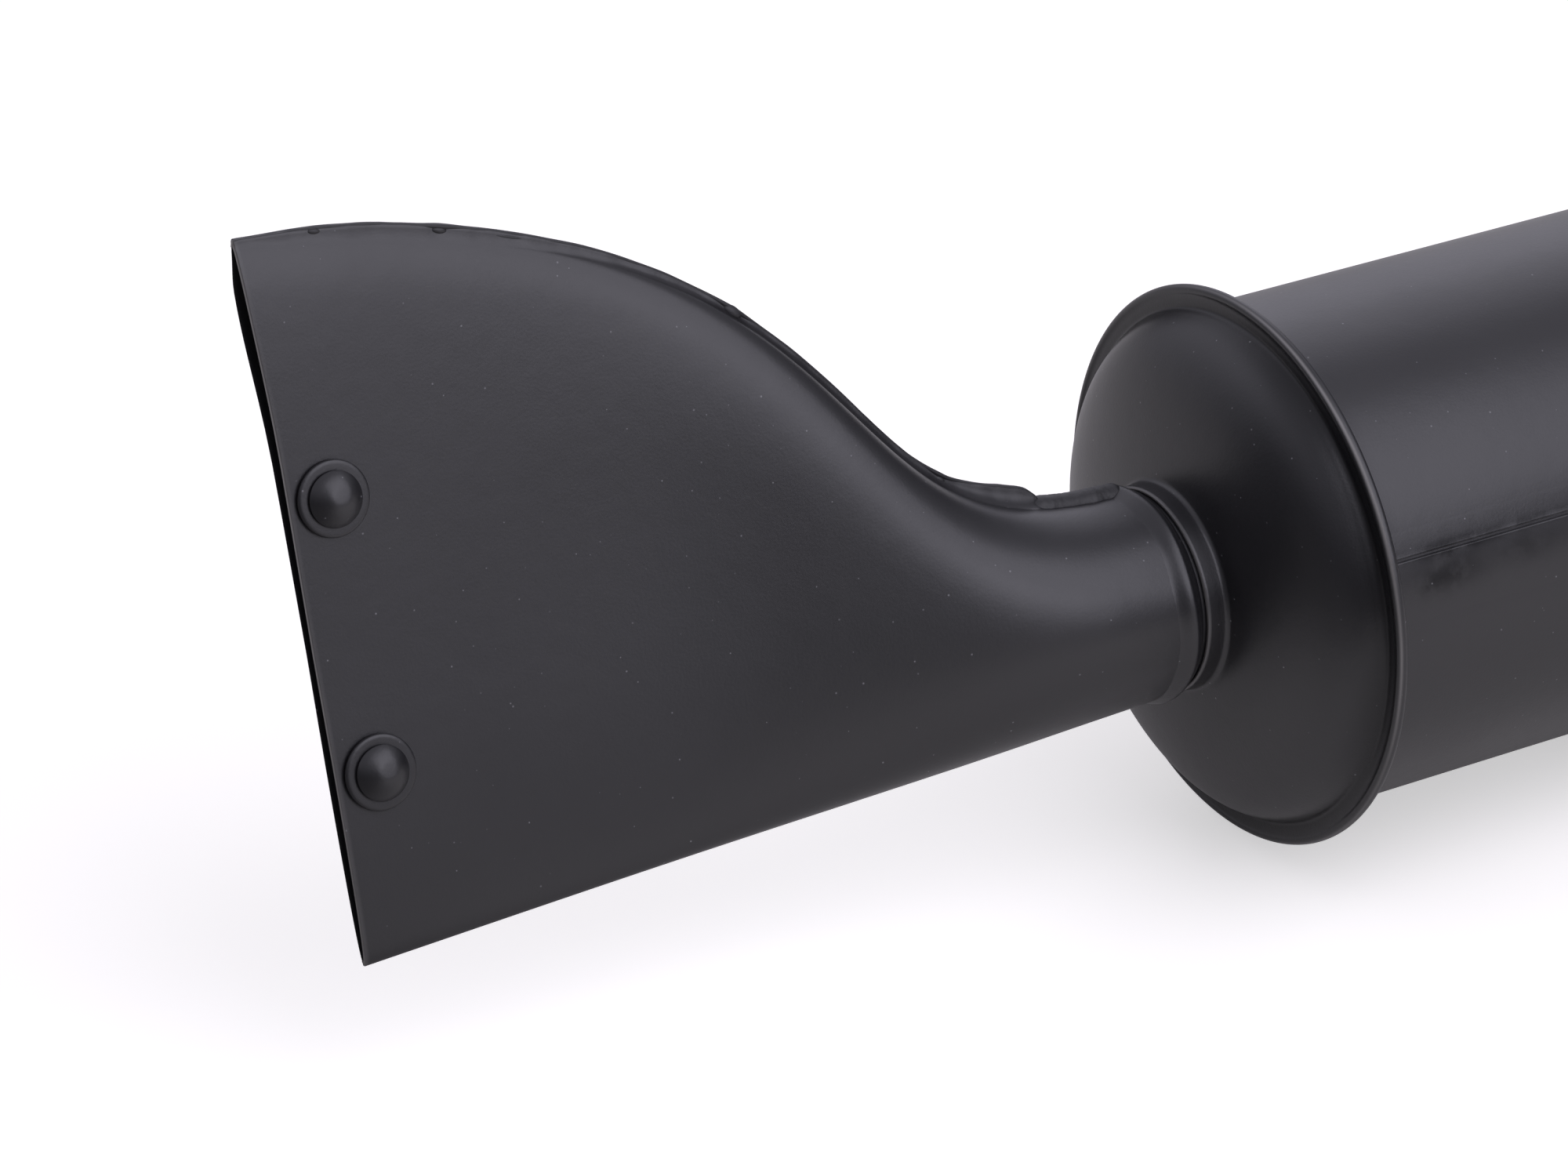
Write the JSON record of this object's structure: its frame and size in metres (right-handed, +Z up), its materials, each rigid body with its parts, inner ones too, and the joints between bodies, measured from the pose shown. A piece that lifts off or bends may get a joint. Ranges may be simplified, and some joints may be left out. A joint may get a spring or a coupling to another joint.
{
  "type": "exhaust silencer",
  "caption": "Fishtail exhaust silencer: rolled can with domed end caps, folded fishtail with a riveted slit mouth, slotted inlet with clamp, and a mounting channel.",
  "frame": {"origin": "middle of the mounting channel's sole, under the middle of the can", "axes": "+X along the can's axis towards the inlet, so the tail's mouth is at -X; +Z up from the sole; +Y to the side that the tail's top leans to"},
  "size_m": [0.5911, 0.12, 0.1757],
  "materials": {
    "satin_black": "satin",
    "bare_steel": "dull",
    "zinc_plate": "satin"
  },
  "bodies": {
    "silencer": {"can_shell": "satin_black", "rear_end_cap": "satin_black", "front_end_cap": "satin_black", "tail_shell": "satin_black", "tail_seam_weld": "satin_black", "tail_neck_weld": "satin_black", "inlet_neck_weld": "satin_black", "upper_rivet": "satin_black", "lower_rivet": "satin_black", "upper_washer_near": "satin_black", "upper_washer_far": "satin_black", "lower_washer_near": "satin_black", "lower_washer_far": "satin_black", "upper_spacer": "bare_steel", "lower_spacer": "bare_steel", "outlet_tube": "bare_steel", "outlet_plug": "bare_steel", "inlet_tube": "satin_black", "inlet_plug": "bare_steel", "rear_baffle": "bare_steel", "middle_baffle": "bare_steel", "front_baffle": "bare_steel", "mounting_channel": "satin_black", "rear_channel_nut": "zinc_plate", "front_channel_nut": "zinc_plate"},
    "clamp": {"clamp_band": "zinc_plate", "clamp_bolt": "zinc_plate"},
    "nut_washer": {"clamp_washer": "zinc_plate"},
    "nut": {"clamp_nut": "zinc_plate"}
  },
  "joints": [
    {"name": "clamp_swivel", "type": "hinge", "parent": "silencer", "child": "clamp", "pos_m": [0.20916, 0, 0.064], "axis": [1, 0, 0], "continuous": true},
    {"name": "nut_travel", "type": "slide", "parent": "clamp", "child": "nut_washer", "axis": [0, -1, 0], "range_m": [0, 0.004]},
    {"name": "nut_turn", "type": "hinge", "parent": "nut_washer", "child": "nut", "pos_m": [0.20916, -0.0088, 0.0317], "axis": [0, -1, 0], "range_deg": [0, 1440]}
  ],
  "couplings": [
    {"joint": "nut_turn", "follows": "nut_travel", "rad_per_m": 6283}
  ]
}
